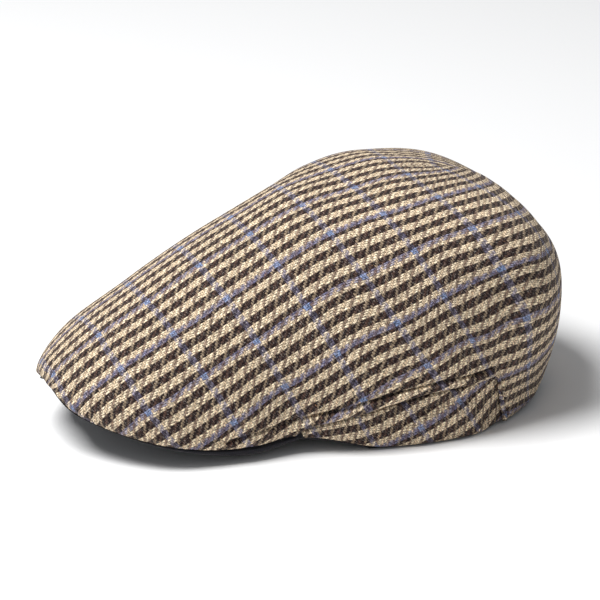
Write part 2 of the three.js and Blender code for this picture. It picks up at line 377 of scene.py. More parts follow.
BACK_CLOTH = EasedCloth(5, (
    ((0, 18, 35, 52, 70, 88, 107, 128, 150), (126, 126, 126, 126, 126, 126, 126, 125, 126)),
    ((0, 18, 36, 54, 72, 91, 113, 136, 161), (142, 141, 141, 141, 142, 142, 141, 140, 140)),
    ((0, 18, 37, 55, 73, 93, 116, 141, 169), (157, 157, 157, 157, 157, 157, 156, 154, 154)),
    ((0, 20, 39, 57, 75, 95, 118, 144, 175), (170, 171, 171, 171, 171, 170, 168, 167, 167)),
    ((0, 22, 42, 60, 78, 98, 120, 146, 179), (184, 184, 184, 184, 184, 184, 182, 181, 181)),
    ((0, 24, 43, 63, 82, 100, 119, 145, 178), (199, 199, 199, 199, 199, 199, 198, 197, 199)),
    ((0, 25, 47, 66, 84, 103, 121, 144, 176), (217, 216, 214, 213, 213, 211, 211, 212, 221)),
    ((0, 32, 53, 71, 88, 105, 121, 143, 173), (247, 239, 232, 227, 224, 223, 220, 224, 238)),
    ((24, 45, 62, 78, 92, 107, 123, 145, 172), (276, 260, 250, 242, 238, 235, 233, 236, 251)),
    ((51, 62, 74, 87, 102, 116, 134, 152, 175), (294, 278, 268, 259, 253, 248, 247, 249, 262)),
    ((74, 81, 89, 100, 112, 127, 142, 158, 176), (303, 290, 281, 273, 267, 262, 260, 263, 273)),
    ((92, 96, 102, 110, 119, 130, 144, 159, 175), (308, 297, 289, 282, 277, 274, 272, 274, 282)),
    ((112, 113, 117, 122, 129, 138, 148, 160, 175), (311, 303, 296, 292, 288, 286, 285, 286, 290)),
    ((151, 151, 152, 154, 157, 160, 165, 169, 175), (308, 305, 303, 301, 299, 298, 297, 298, 299)),
    ((175,) * 9, (306,) * 9),
))  # fmt: skip


class ClothMap:
    """Where each place of the skin lies on the flat cloth of the top."""

    ROWS = 480  # cells of the measuring grid, along the cap
    COLUMNS = 160  # and from crown line to edge
    FRONT_BLEND = (3.9, 4.7)  # stations where the front table gives way to plain lengths
    BACK_BLEND = (5.2, 6)  # and where these give way to the back table

    def __init__(self, skin: Skin) -> None:
        """Measures the skin's sections on a fine grid.

        Args:
            skin: the cap's outer surface.
        """
        self.stations = np.linspace(0, LAST_STATION, self.ROWS + 1)
        self.across = np.linspace(0, 1, self.COLUMNS + 1)
        grid = np.meshgrid(self.stations, self.across, indexing="ij")
        steps = np.linalg.norm(np.diff(skin.points(*grid), axis=1), axis=-1)
        start = np.zeros((self.ROWS + 1, 1))
        self.girth = np.concatenate([start, np.cumsum(steps, axis=1)], axis=1)
        self.line = np.interp(self.stations, skin.line_stations, skin.line_lengths)

    def girth_at(self, station: Array, across: Array) -> Array:
        """Length over the cap from its crown line to each place.

        Args:
            station: places along the cap.
            across: places over the cap, of the same shape.

        Returns:
            Lengths in millimetres.
        """
        row = np.clip(station / LAST_STATION * self.ROWS, 0, self.ROWS - 0.001)
        column = np.clip(np.abs(across) * self.COLUMNS, 0, self.COLUMNS - 0.001)
        i, j = row.astype(int), column.astype(int)
        f, g = row - i, column - j
        front = self.girth[i, j] * (1 - g) + self.girth[i, j + 1] * g
        back = self.girth[i + 1, j] * (1 - g) + self.girth[i + 1, j + 1] * g
        return front * (1 - f) + back * f

    def across_at(self, station: float, girths: Array) -> Array:
        """Places over the cap at some lengths from the crown line of one station."""
        profile = self.girth_at(np.full_like(self.across, station), self.across)
        return np.interp(girths, profile, self.across)

    def place(self, station: Array, across: Array) -> Array:
        """Places on the flat cloth: plain lengths in the middle, and eased at front and back.

        Args:
            station: places along the cap.
            across: places over the cap, of the same shape.

        Returns:
            Widthways and lengthways places in millimetres, in the last axis.
        """
        front = 1 - smooth_step(station, *self.FRONT_BLEND)
        back = smooth_step(station, *self.BACK_BLEND)
        plain = [self.girth_at(station, across), np.interp(station, self.stations, self.line)]
        places = np.stack(plain, -1) * (1 - front - back)[..., None]
        places += FRONT_CLOTH.place(station, across) * front[..., None]
        return places + BACK_CLOTH.place(station, across) * back[..., None]


CLOTH = ClothMap(SKIN)


# Meshes and pieces


def shaped_grid(
    places: Array, cloth: Array, wall: Array | None = None, keep: Array | None = None
) -> Mesh:
    """Makes a surface from a grid whose corners are moved to their places.

    Args:
        places: coordinates in millimetres, as rows of columns of points.
        cloth: each corner's place on the flat cloth, in millimetres.
        wall: each corner's share of the full wall thickness, where it isn't all of it.
        keep: which cells are kept, where they aren't all kept.

    Returns:
        The surface, with its map "cloth" and its corners' wall shares.
    """
    rows, columns = places.shape[:2]
    mesh = bmesh.new()
    uv = mesh.loops.layers.uv.new("cloth")
    bmesh.ops.create_grid(mesh, x_segments=columns - 1, y_segments=rows - 1, size=0.5)
    share = mesh.verts.layers.deform.verify()
    shares = np.ones(rows * columns) if wall is None else wall.reshape(-1)
    for vert, place, amount in zip(mesh.verts, places.reshape(-1, 3) * MM, shares):
        vert.co = place
        vert[share][0] = amount
    flat_cloth = cloth.reshape(-1, 2) * MM
    for face in mesh.faces:
        face.smooth = True
        for loop in face.loops:
            loop[uv].uv = flat_cloth[loop.vert.index]
    if keep is not None:
        unwanted = [face for face, kept in zip(mesh.faces, keep.reshape(-1)) if not kept]
        bmesh.ops.delete(mesh, geom=unwanted, context="FACES")
    bmesh.ops.remove_doubles(mesh, verts=mesh.verts, dist=0.002 * MM)
    bmesh.ops.dissolve_degenerate(mesh, edges=mesh.edges, dist=0.001 * MM)
    return mesh


@dataclass(frozen=True)
class Stitch:
    """One stitch of a row: a bead of thread, and the gap that follows it."""

    length: float = 2.4
    gap: float = 0.9
    thickness: float = 0.42

    def sew_row(self, mesh: Mesh, line: Array, outward: Array) -> None:
        """Adds a row of stitches to a mesh.

        Args:
            mesh: where they are added.
            line: points along the row, in millimetres.
            outward: the cloth's outward direction at each point.
        """
        lengths = running_length(line)
        width = self.thickness / 2 * MM
        size = Matrix.Diagonal((width, self.length / 2 * MM, width, 1))
        for start in np.arange(0, lengths[-1] - self.length, self.length + self.gap):
            ends = (point_along(line, lengths, at) for at in (start, start + self.length))
            first, last = (Vector(end) for end in ends)
            up = Vector(point_along(outward, lengths, start + self.length / 2))
            along = (last - first).normalized()
            side = along.cross(up).normalized()
            turn = Matrix((side, along, side.cross(along))).transposed().to_4x4()
            place = Matrix.Translation((first + last) / 2 * MM) @ turn @ size
            bmesh.ops.create_uvsphere(mesh, u_segments=8, v_segments=6, radius=1, matrix=place)


def point_along(values: Array, lengths: Array, at: float) -> Array:
    """Value a length along a line, from the values at its points."""
    return np.array([np.interp(at, lengths, column) for column in values.T])


def make_piece(
    name: str, mesh: Mesh, material: bpy.types.Material, replaced: str = "",
    thickness: float = 0,
) -> Piece:
    """Turns a finished mesh into an object of the scene that rides on the cap.

    Args:
        name: the piece's name.
        mesh: its mesh, which is freed.
        material: its finish.
        replaced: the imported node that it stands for, if any.
        thickness: how far the surface is thickened inwards, by each corner's share of it.

    Returns:
        The new object.
    """
    data = bpy.data.meshes.new(name)
    mesh.to_mesh(data)
    mesh.free()
    data.materials.append(material)
    piece = bpy.data.objects.new(name, data)
    bpy.context.scene.collection.objects.link(piece)
    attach(piece, "root")
    if replaced:
        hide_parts(replaced)
    if thickness:
        piece.vertex_groups.new(name="wall")
        wall = piece.modifiers.new("wall", "SOLIDIFY")
        wall.thickness, wall.offset = thickness * MM, -1
        wall.vertex_group, wall.thickness_vertex_group = "wall", 0.05
    return piece


# Finishes


def srgb(code: str) -> tuple[float, float, float, float]:
    """Linear colour of an sRGB hex code such as "d8c8a8".

    Args:
        code: six hex digits.

    Returns:
        Red, green, blue and full cover.
    """
    parts = [int(code[k : k + 2], 16) / 255 for k in (0, 2, 4)]
    linear = [c / 12.92 if c <= 0.04045 else ((c + 0.055) / 1.055) ** 2.4 for c in parts]
    return (linear[0], linear[1], linear[2], 1.0)


def add_node(
    tree: Tree, kind: str, inputs: dict[int | str, Any], output: int = 0, **settings: Any
) -> Socket | None:
    """Adds a shader node with its settings and links.

    Args:
        tree: the nodes of the material or the world.
        kind: the node's type, without the word ShaderNode.
        inputs: a socket to link or a value to set, for each input by number or name.
        output: which output to give back.
        settings: the node's own properties.

    Returns:
        The chosen output, or None where the node has none.
    """
    node = tree.nodes.new("ShaderNode" + kind)
    for key, value in settings.items():
        setattr(node, key, value)
    for key, value in inputs.items():
        if isinstance(value, bpy.types.NodeSocket):
            tree.links.new(value, node.inputs[key])
        else:
            node.inputs[key].default_value = value
    return node.outputs[output] if len(node.outputs) else None


def new_material(name: str) -> tuple[bpy.types.Material, Add]:
    """Makes an empty material, and gives it with add_node set to its nodes.

    Args:
        name: the material's name.

    Returns:
        The material, and what adds a node to it.
    """
    material = bpy.data.materials.new(name)
    material.use_nodes = True
    material.node_tree.nodes.clear()
    return material, partial(add_node, material.node_tree)


COLOUR = {"output": 2, "data_type": "RGBA"}  # sets a Mix node to colours, its inputs 6 and 7


@dataclass(frozen=True)
class CheckedWool:
    """Woollen houndstooth with a fine overcheck, woven in a 2/2 twill from heathered yarn.

    Soft rough yarns give a matt, faintly furry face with a pale bloom at grazing angles.
    """

    thread_across: float = 27.12 / 28  # from one lengthwise thread to the next
    thread_along: float = 29.84 / 28  # from one cross thread to the next
    start_across: float = 14.01 * 28 / 27.12  # lengthwise threads before the crown line
    start_along: float = 20.52 * 28 / 29.84 + 28  # cross threads before the front tip
    wander: tuple[tuple[float, float], ...] = ((0.11, 0.9), (0.9, 0.5), (2.2, 0.35))
    stripe: int = 8  # threads in one light and one dark stripe
    overcheck: int = 28  # threads from one fine line to the next
    fine_threads: int = 3  # threads in one fine line
    dark: str = "231011"
    cream: str = "f5e0c0"
    cross_dark: str = "755749"
    cross_cream: str = "d6bb9a"
    fine_line: str = "54557f"
    fine_line_pale: str = "a6a1b8"
    crossing: str = "8097c0"
    fleck: str = "c8936a"
    stray: str = "efe6da"
    fine_share: tuple[float, float] = (0.8, 0.85)  # dye of a fine line, lengthwise and cross
    bleed: float = 0.2  # dye that a cross fine line leaves on the lengthwise yarn
    veil: tuple[float, float] = (0.58, 0.2)  # fuzz of dark and light yarn over the cross yarn

    def build(self) -> bpy.types.Material:
        """Makes the material.

        Returns:
            The material.
        """
        material, add = new_material("checked_wool_twill")
        threads = self._threads(add)
        whole, top, height = self._weave(add, threads)
        heather, flecks, stray, lint = self._speckles(add, threads)
        yarn = self._yarn(add, whole, top, heather)
        for share, dye in ((flecks, self.fleck), (stray, self.stray)):
            yarn = add("Mix", {0: share, 6: yarn, 7: srgb(dye)}, **COLOUR)
        # Painted shade: the yarn's colour is scaled by the thread's height, to half in the gaps
        # between threads and a little lighter on its crown, together with the lint's random
        # brightness.
        depth = add("MapRange", {0: height, 1: 0.0, 2: 0.9, 3: 0.5, 4: 1.1})
        lint_and_thread_shade = add("Math", {0: lint, 1: depth}, operation="MULTIPLY")
        colour = add("VectorMath", {0: yarn, "Scale": lint_and_thread_shade}, operation="SCALE")
        fibres = add("TexNoise", {
            "Vector": threads, "Scale": 2.6, "Detail": 3.0, "Roughness": 0.65})
        relief = add("Math", {0: fibres, 1: 0.5, 2: height}, operation="MULTIPLY_ADD")
        bump = add("Bump", {"Strength": 1.0, "Distance": 0.4 * MM, "Height": relief})
        shader = add("BsdfPrincipled", {
            "Base Color": colour, "Normal": bump, "Roughness": 0.92, "Specular IOR Level": 0.25,
            "Sheen Weight": 0.12, "Sheen Roughness": 0.5, "Sheen Tint": srgb("f2e8dc")})
        add("OutputMaterial", {"Surface": shader})
        return material

    def _threads(self, add: Add) -> Socket:
        """Counts threads over the cloth, with the slight wander of a soft yarn.

        Args:
            add: adds a node to the material.

        Returns:
            Running thread counts, widthways and lengthways.
        """
        cloth = add("UVMap", {}, uv_map="cloth")
        pitch = (1 / (self.thread_across * MM), 1 / (self.thread_along * MM), 0)
        start = (self.start_across, self.start_along, 0)
        count = add("VectorMath", {0: cloth, 1: pitch, 2: start}, operation="MULTIPLY_ADD")
        for scale, amount in self.wander:
            noise = add("TexNoise", {"Vector": count, "Scale": scale, "Detail": 1.0}, output=1)
            count = add(
                "VectorMath", {0: noise, 1: (amount,) * 3, 2: count},
                operation="MULTIPLY_ADD")
        return count

    def _weave(self, add: Add, threads: Socket) -> tuple[list[Socket], Socket, Socket]:
        """Lays the 2/2 twill.

        Args:
            add: adds a node to the material.
            threads: running thread counts.

        Returns:
            Whole counts of the lengthwise and cross threads, whether a lengthwise thread is on
            top, and the height of the thread on top.
        """
        axes = add("SeparateXYZ", {0: threads}).node.outputs
        whole = [add("Math", {0: axis}, operation="FLOOR") for axis in axes[:2]]
        part = [add("Math", {0: axis}, operation="FRACT") for axis in axes[:2]]
        both = add("Math", {0: whole[0], 1: whole[1]}, operation="ADD")
        step = add("Math", {0: both, 1: 4.0}, operation="FLOORED_MODULO")
        top = add("Math", {0: step, 1: 1.5}, operation="LESS_THAN")
        floats = []
        for axis, count in ((axes[1], whole[0]), (axes[0], whole[1])):
            place = add("Math", {0: axis, 1: count}, operation="ADD")
            turn = add("Math", {0: place, 1: math.pi / 2}, operation="MULTIPLY")
            wave = add("Math", {0: turn}, operation="SINE")
            floats.append(add("Math", {0: wave}, operation="ABSOLUTE"))
        crest = add("Mix", {0: top, 2: floats[1], 3: floats[0]})
        width = add("Mix", {0: top, 2: part[1], 3: part[0]})
        rest = add("Math", {0: 1.0, 1: width}, operation="SUBTRACT")
        round_ = add("Math", {0: width, 1: rest}, operation="MULTIPLY")
        arch = add("Math", {0: crest, 1: 2.6, 2: 1.4}, operation="MULTIPLY_ADD")
        height = add("Math", {0: round_, 1: arch}, operation="MULTIPLY")
        return whole, top, height

    def _speckles(self, add: Add, threads: Socket) -> list[Socket]:
        """Scatters what makes the yarn uneven.

        Args:
            add: adds a node to the material.
            threads: running thread counts.

        Returns:
            Shares of heather, of coloured flecks and of stray fibres, and the lint's brightness.
        """
        turn = (0, 0, math.radians(52))
        slanted = add("Mapping", {0: threads, "Rotation": turn, "Scale": (0.5, 1.7, 1.0)})
        speckles = []
        for place, scale, detail, roughness, reach in (
            (threads, 0.55, 4.0, 0.7, (0.35, 0.65, 0.0, 1.0)),  # heather
            (threads, 0.45, 2.0, 0.5, (0.7, 0.78, 0.0, 0.45)),  # coloured flecks
            (slanted, 1.25, 3.0, 0.7, (0.55, 0.67, 0.0, 0.33)),  # stray fibres
            (threads, 0.95, 3.0, 0.85, (0.34, 0.66, 0.1, 1.95)),  # lint
        ):
            noise = add("TexNoise", {
                "Vector": place, "Scale": scale, "Detail": detail, "Roughness": roughness})
            speckles.append(add("MapRange", {0: noise, **dict(enumerate(reach, 1))}))
        return speckles

    def _yarn(self, add: Add, whole: list[Socket], top: Socket, heather: Socket) -> Socket:
        """Dyes the yarns and lays the upper one over the other.

        Args:
            add: adds a node to the material.
            whole: whole counts of the lengthwise and cross threads.
            top: whether a lengthwise thread is on top.
            heather: share of pale wool in the fine lines.

        Returns:
            The colour of the yarn on top.
        """
        pale = {6: srgb(self.fine_line), 7: srgb(self.fine_line_pale)}
        fine_dye = add("Mix", {0: heather, **pale}, **COLOUR)
        stripes, lights, lines = [], [], []
        dyes = ((self.dark, self.cream), (self.cross_dark, self.cross_cream))
        for count, (dark, light) in zip(whole, dyes):
            stripe = add("Math", {0: count, 1: float(self.stripe)}, operation="FLOORED_MODULO")
            lights.append(add(
                "Math", {0: stripe, 1: self.stripe / 2 - 0.5}, operation="GREATER_THAN"))
            stripes.append(add("Mix", {0: lights[-1], 6: srgb(dark), 7: srgb(light)}, **COLOUR))
            after = add("Math", {0: count, 1: 1.0}, operation="ADD")
            line = add("Math", {0: after, 1: float(self.overcheck)}, operation="FLOORED_MODULO")
            lines.append(add("Math", {0: line, 1: self.fine_threads - 0.5}, operation="LESS_THAN"))
        bled = add("Math", {0: lines[1], 1: self.bleed}, operation="MULTIPLY")
        dyed = []
        for stripe, line, share, other in zip(stripes, lines, self.fine_share, (bled, 0.0)):
            dye = add(
                "Math", {0: line, 1: share, 2: other}, operation="MULTIPLY_ADD",
                use_clamp=True)
            dyed.append(add("Mix", {0: dye, 6: stripe, 7: fine_dye}, **COLOUR))
        veil = add("Mix", {0: lights[0], 2: self.veil[0], 3: self.veil[1]})
        veiled = add("Mix", {0: veil, 6: dyed[1], 7: dyed[0]}, **COLOUR)
        yarn = add("Mix", {0: top, 6: veiled, 7: dyed[0]}, **COLOUR)
        crossing = add("Math", {0: lines[0], 1: lines[1]}, operation="MULTIPLY")
        patchy = add("MapRange", {0: heather, 1: 0.0, 2: 1.0, 3: 0.95, 4: 0.35})
        crossing = add("Math", {0: crossing, 1: patchy}, operation="MULTIPLY")
        return add("Mix", {0: crossing, 6: yarn, 7: srgb(self.crossing)}, **COLOUR)


@dataclass(frozen=True)
class DarkTwill:
    """Close cotton twill, piece-dyed almost black: matt, with a fine slanting rib."""

    rib: float = 0.8
    # Colours of the hollows and of the crests: painted shade and painted light over the one
    # near-black dye.
    dark: str = "121116"
    light: str = "26252c"

    def build(self) -> bpy.types.Material:
        """Makes the material.

        Returns:
            The material.
        """
        material, add = new_material("dark_cotton_twill")
        cloth = add("UVMap", {}, uv_map="cloth")
        slant = add("VectorMath", {0: cloth, 1: (1.0, 0.7, 0)}, output=1, operation="DOT_PRODUCT")
        turns = 2 * math.pi / (self.rib * MM)
        turn = add("Math", {0: slant, 1: turns}, operation="MULTIPLY")
        wave = add("Math", {0: turn}, operation="SINE")
        noise = add("TexNoise", {"Vector": cloth, "Scale": 900.0, "Detail": 3.0})
        height = add("Math", {0: noise, 1: 1.5, 2: wave}, operation="MULTIPLY_ADD")
        # Painted shade: the colour follows the same height as the bump, darker in the hollows of
        # the rib and the lint and lighter on their crests.
        relief_shade = add("MapRange", {0: height, 1: -0.8, 2: 2.2, 3: 0.0, 4: 1.0})
        dyes = {6: srgb(self.dark), 7: srgb(self.light)}
        colour = add("Mix", {0: relief_shade, **dyes}, **COLOUR)
        bump = add("Bump", {"Strength": 0.4, "Distance": 0.15 * MM, "Height": height})
        shader = add("BsdfPrincipled", {
            "Base Color": colour, "Normal": bump, "Roughness": 0.8, "Specular IOR Level": 0.3,
            "Sheen Weight": 0.15, "Sheen Roughness": 0.4})
        add("OutputMaterial", {"Surface": shader})
        return material


@dataclass(frozen=True)
class SewingThread:
    """Spun polyester sewing thread in dark brown, with a faint gloss along its ply."""

    dark: str = "1d1614"
    light: str = "2c211e"

    def build(self) -> bpy.types.Material:
        """Makes the material.

        Returns:
            The material.
        """
        material, add = new_material("dark_sewing_thread")
        place = add("TexCoord", {}, output=3)
        noise = add("TexNoise", {"Vector": place, "Scale": 2500.0})
        dyes = {6: srgb(self.dark), 7: srgb(self.light)}
        colour = add("Mix", {0: noise, **dyes}, **COLOUR)
        shader = add("BsdfPrincipled", {"Base Color": colour, "Roughness": 0.55})
        add("OutputMaterial", {"Surface": shader})
        return material


@dataclass(frozen=True)
class PaleFloor:
    """Matt white paper: plain and pale."""

    colour: str = "f4f4f4"

    def build(self) -> bpy.types.Material:
        """Makes the material.

        Returns:
            The material.
        """
        material, add = new_material("pale_floor")
        shader = add("BsdfPrincipled", {
            "Base Color": srgb(self.colour), "Roughness": 0.9, "Specular IOR Level": 0.1})
        add("OutputMaterial", {"Surface": shader})
        return material


# Lines, folds and creases


def top_edge(station: Array) -> Array:
    """Distance of the top cloth's lower edge above the skin's lower edge."""
    return np.interp(station, *np.array(TOP_CLOTH_EDGE, float).T)


def lower_place(station: Array, f: Array) -> tuple[Array, Array]:
    """A place below the seam line.

    Args:
        station: places along the cap.
        f: 0 on the seam line and 1 at the hem, of the same shape.

    Returns:
        The station there, as the back seam leans, and the place across.
    """
    near = np.maximum(0, 1 - np.abs(station - BACK_SEAM) / BACK_SEAM_REACH)
    at = station - BACK_SEAM_LEAN * near * f
    seam = SKIN.across_above(at, top_edge(at))
    return at, seam + (1 - seam) * f


def fold_line() -> Array:
    """Points of the top's folded edge over the left side panel."""
    stations = np.linspace(PANEL_TIP, BACK_SEAM, 60)
    return SKIN.points(stations, SKIN.across_above(stations, top_edge(stations)))


def hem_line(start: float, end: float) -> Array:
    """Points of the left hem between two stations."""
    return SKIN.points(np.linspace(start, end, 60), np.ones(60))


def back_seam_line(behind: float) -> tuple[Array, Array]:
    """Stations and places across down the back seam, a distance in stations behind its fold."""
    return lower_place(np.full(25, BACK_SEAM + behind), np.linspace(0, 1, 25))


def front_share(station: Array) -> Array:
    """1 across the front of the peak, and falling to 0 down its sides."""
    return 1 - smooth_step(station, *PEAK_CORNER)


def clear_share(station: Array) -> Array:
    """1 along the side panel, and falling to 0 where it goes under the back seam."""
    return smooth_step(BACK_SEAM - station, *PANEL_CLEAR)


def thinned(gap: Array, width: float = 1.5) -> Array:
    """Share of the full wall thickness at some distances from a thin edge."""
    return 0.5 + 0.5 * smooth_step(gap, 0, width)


def welt(distance: Array, height: float, width: float) -> Array:
    """Height of a turned-in allowance at some distances from its fold."""
    return height * np.sin(np.pi * np.clip(distance / width, 0, 1)) ** 0.8


def undulation(points: Array) -> Array:
    """Slight unevenness of steamed cloth, in millimetres, from a few long waves.

    Args:
        points: coordinates in the last axis.

    Returns:
        The lift at each point.
    """
    waves = (
        (0.051, 0.022, 0.043, 0.4, 0.30), (-0.034, 0.058, 0.019, 2.1, 0.28),
        (0.083, -0.046, 0.062, 4.0, 0.16), (0.027, 0.094, -0.071, 1.2, 0.13),
    )  # fmt: skip
    return sum(height * np.sin(points @ np.array(wave) + start) for *wave, start, height in waves)


@dataclass(frozen=True)
class Ridge:
    """A soft ridge along a line on the cloth, or a hollow where its height is below 0."""

    height: float
    width: float
    away: float = 0  # how far its middle lies from the line

    def at(self, distance: Array) -> Array:
        """Heights at some distances from the line."""
        return self.height * np.exp(-(((distance - self.away) / self.width) ** 2))


@dataclass(frozen=True)
class Crease:
    """A ridge or hollow along a line of places on the skin."""

    line: tuple[tuple[float, float], ...]  # station, across
    shape: Ridge

    def lift(self, points: Array) -> Array:
        """Heights at some points of the left side."""
        corners = np.array(self.line, float)
        return self.shape.at(distance_to_line(points, SKIN.points(corners[:, 0], corners[:, 1])))


HEM_ROLL = Ridge(-0.8, 0.6)  # where the cloth turns in round the hem


# The cap's pieces


@dataclass
class TopGrid:
    """The left half of the top cloth's grid, from the crown line to the hem."""

    stations: Array
    across: Array
    keep: Array  # which cells belong to the cloth
    base: Array = field(init=False)  # the corners' places on the skin
    to_fold: Array = field(init=False)
    to_seam: Array = field(init=False)
    to_hem: Array = field(init=False)

    def __post_init__(self) -> None:
        """Measures how far each corner lies from the fold, the back seam and the hem."""
        self.base = SKIN.points(self.stations, self.across)
        self.to_fold = distance_to_line(self.base, fold_line())
        self.to_seam = distance_to_line(self.base, SKIN.points(*back_seam_line(0)))
        self.to_hem = distance_to_line(self.base, hem_line(BACK_START + 0.1, LAST_STATION))


@dataclass
class TopCloth:
    """One-piece top: over the peak's board and the crown, and down the back to the hem."""

    wool: bpy.types.Material
    thread: bpy.types.Material
    thickness: float = TOP_THICKNESS
    row_step: float = 2.1
    upper_columns: int = 70
    fold_columns: tuple[float, ...] = (
        0, 0.35, 0.8, 1.4, 2.1, 2.9, 3.6, 4.2, 4.6, 5, 5.4, 5.8, 6.2, 6.6, 7.1, 7.7, 8.6, 10)
    seam_rows: tuple[float, ...] = (0.35, 0.8, 1.4, 2.0, 2.6, 3.1, 3.7, 4.5, 5.6, 7.2)
    crown_columns: tuple[float, ...] = (0, 0.6, 1.3, 2.1, 3.2)
    full_girth: float = 45  # shorter sections have their close columns closer
    lower_columns: int = 18
    fold_welt: float = 1.2  # how far the folded allowance stands up
    fold_width: float = 5.6  # from the fold to its stitches
    fold_start: tuple[float, float] = (3.6, 4.3)  # stations where the fold rises
    fold_end: tuple[float, float] = (7.28, 7.42)  # and where it goes down again
    row_start: tuple[float, float] = (2.3, 3.2)  # stations where its stitches begin to pull
    row_depth: float = 0.95  # of its stitches' middles under the skin
    seam_welt: float = 0.8
    seam_width: float = 3.0  # from the back seam's fold to its stitches
    seam_zone: float = 12  # how far from the back seam the cloth is shaped by it
    seam_gap: float = 0.075  # stations from its fold to its stitches
    seam_row_depth: float = 0.75
    fold_dip: Ridge = Ridge(-0.6, 0.5)  # where a fold rounds off
    stitch_groove: Ridge = Ridge(-2.1, 0.85)  # where the stitches pull the cloth down
    stitch_puff: Ridge = Ridge(0.4, 2.2, 3.2)  # and where it swells again beside them
    seam_groove: Ridge = Ridge(-1.1, 0.7, 3.0)
    dart_groove: Ridge = Ridge(-0.75, 0.9)  # the seam down the middle of the back
    dart_puff: Ridge = Ridge(0.35, 2.0, 3.0)
    dart_fade: float = 0.7  # stations over which that seam sets in
    turn_under: tuple[float, float] = (1.5, 0.9)  # in round the peak's edge, and more in front
    turn_width: tuple[float, float] = (1.5, 1.3)
    turn_end: tuple[float, float] = (3.7, 4.1)  # stations where the turned-in edge ends
    crown_play: float = 20  # how soon the unevenness grows away from the crown line
    stitch: Stitch = Stitch()
    creases: tuple[Crease, ...] = (
        Crease(((8.15, 0.70), (7.9, 0.755), (7.62, 0.82), (7.42, 0.86)), Ridge(-1.2, 6.0)),
        Crease(((7.55, 0.6), (7.75, 0.68)), Ridge(-0.4, 9.0)),
        Crease(((8.3, 0.82), (7.8, 0.86)), Ridge(0.4, 7.0)),
    )

    def build(self) -> list[Piece]:
        """Makes the cloth and its stitches.

        Returns:
            The two pieces.
        """
        grid = self._grid()
        normals = SKIN.normals(grid.stations, grid.across)
        lift = self._fold_lift(grid) + self._seam_lift(grid) + self._edge_lift(grid)
        lift += sum(crease.lift(grid.base) for crease in self.creases)
        play = smooth_step(grid.to_hem, 0, EVEN_HEM)
        play = play * np.minimum(1, grid.across * self.crown_play)
        halves = []
        for side in Side:
            wave = undulation(grid.base * (side.value, 1, 1)) * play
            halves.append(grid.base + normals * (lift + wave)[..., None])
        cloth = CLOTH.place(grid.stations, grid.across)
        cloth = np.concatenate([cloth[:, ::-1] * (-1, 1), cloth], axis=1)
        wall = self._wall(grid)
        wall = np.concatenate([wall[:, ::-1], wall], axis=1)
        middle = np.zeros_like(grid.keep[:, :1])
        keep = np.concatenate([grid.keep[:, ::-1], middle, grid.keep], axis=1)
        mesh = shaped_grid(whole_rows(*halves), cloth, wall, keep)
        top = make_piece("top_cloth", mesh, self.wool, "crown_top", self.thickness)
        return [top, make_piece("top_stitching", self._stitches(), self.thread)]

    def _grid(self) -> TopGrid:
        """Lays out the left half of the grid, close together at folds, seams and the crown.

        Returns:
            The grid.
        """
        front = SKIN.span(0, BOARD_END, self.row_step)
        middle = SKIN.span(PANEL_TIP, BACK_SEAM, self.row_step)
        rows = np.concatenate([front, middle, self._rows_behind_seam()])
        seam_row = len(front) + len(middle) - 1
        reach = len(self.fold_columns) + self.upper_columns
        low = np.linspace(0, 1, self.lower_columns + 1)[1:]
        low = low + np.sin(2 * np.pi * low) / (4 * np.pi)
        stations = np.repeat(rows[:, None], reach + self.lower_columns, axis=1)
        across = np.zeros_like(stations)
        seams = SKIN.across_above(rows, top_edge(rows))
        for r, (row, seam) in enumerate(zip(rows, seams)):
            girth = float(CLOTH.girth_at(np.array([row]), np.array([seam]))[0])
            squeeze = min(1, girth / self.full_girth)
            near = girth - np.array(self.fold_columns) * squeeze
            crown = np.array(self.crown_columns) * squeeze
            count = self.upper_columns + 2 - len(crown)
            rest = np.linspace(crown[-1], near[-1], count)[1:-1]
            girths = np.concatenate([crown, rest, near[::-1]])
            across[r, :reach] = CLOTH.across_at(row, girths)
            across[r, reach - 1] = seam
        lower = lower_place(stations[:, reach:], np.broadcast_to(low, (len(rows), len(low))))
        stations[:, reach:], across[:, reach:] = lower
        keep = np.ones((len(rows) - 1, stations.shape[1] - 1), bool)
        keep[:seam_row, reach - 1 :] = False
        return TopGrid(stations, across, keep)

    def _rows_behind_seam(self) -> Array:
        """Rows of the grid behind the back seam, close together along its fold.

        Returns:
            Their stations.
        """
        start = np.interp(BACK_SEAM, SKIN.line_stations, SKIN.line_lengths)
        near = np.interp(
            start + np.array(self.seam_rows), SKIN.line_lengths, SKIN.line_stations)
        return np.concatenate([near, SKIN.span(float(near[-1]), LAST_STATION, self.row_step)[1:]])

    def _fold_lift(self, grid: TopGrid) -> Array:
        """Lift of the folded edge over the side panel, and of its row of stitches.

        Args:
            grid: the cloth's grid.

        Returns:
            The lift at each corner.
        """
        at, gap = grid.stations, grid.to_fold
        panel = smooth_step(at, *self.fold_start) * (1 - smooth_step(at, *self.fold_end))
        stations, above = fine(STITCH_ROW).T
        row = SKIN.points(stations, SKIN.across_above(stations, above))
        to_row = distance_to_line(grid.base, row)
        sewn = smooth_step(at, *self.row_start)
        lift = (welt(gap, self.fold_welt, self.fold_width) + self.fold_dip.at(gap)) * panel
        return lift + (self.stitch_groove.at(to_row) + self.stitch_puff.at(to_row)) * sewn

    def _seam_lift(self, grid: TopGrid) -> Array:
        """Lift of the back seam, of the hem behind it, and of the seam down the back.

        Args:
            grid: the cloth's grid.

        Returns:
            The lift at each corner.
        """
        at, gap, middle = grid.stations, grid.to_seam, grid.base[..., 0]
        below = SKIN.across_above(at, top_edge(at)) <= grid.across + 1e-6
        strip = (at >= BACK_START) * (gap < self.seam_zone) * below
        lift = welt(gap, self.seam_welt, self.seam_width)
        lift = (lift + self.fold_dip.at(gap) + self.seam_groove.at(gap)) * strip
        lift += HEM_ROLL.at(grid.to_hem) * (at > BACK_START)
        dart = smooth_step(at, DART_START, DART_START + self.dart_fade)
        return lift + (self.dart_groove.at(middle) + self.dart_puff.at(middle)) * dart

